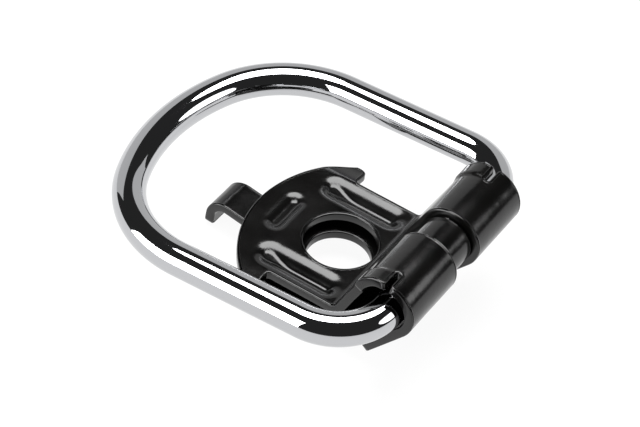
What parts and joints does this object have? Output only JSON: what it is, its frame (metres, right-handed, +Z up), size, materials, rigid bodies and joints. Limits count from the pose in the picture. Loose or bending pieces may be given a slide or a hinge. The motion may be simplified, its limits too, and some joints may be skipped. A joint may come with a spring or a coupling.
{
  "type": "folding lashing eye",
  "caption": "Folding cargo tie-down eye: a D-shaped chromed rod swings in two curled knuckles of a black pressed bracket with a single bolt hole and a locating hook.",
  "frame": {"origin": "on the bolt hole's axis, at the base plate's underside", "axes": "+Z up out of the mounting surface along the bolt hole, +X along the bail's hinge axis, +Y from the hinge across the bolt hole to the locating hook"},
  "size_m": [0.069, 0.0749, 0.0284],
  "materials": {
    "chromed_rod": "polished",
    "black_coating": "semi-gloss"
  },
  "bodies": {
    "bracket": {"top_plate": "black_coating", "base_plate": "black_coating", "left_knuckle": "black_coating", "right_knuckle": "black_coating", "centre_strip": "black_coating", "locating_hook": "black_coating"},
    "bail": {"bail": "chromed_rod"}
  },
  "joints": [
    {"name": "bail_hinge", "type": "hinge", "parent": "bracket", "child": "bail", "pos_m": [0, -0.0222, 0.0172], "axis": [1, 0, 0], "range_deg": [-8.5, 195.5]}
  ]
}
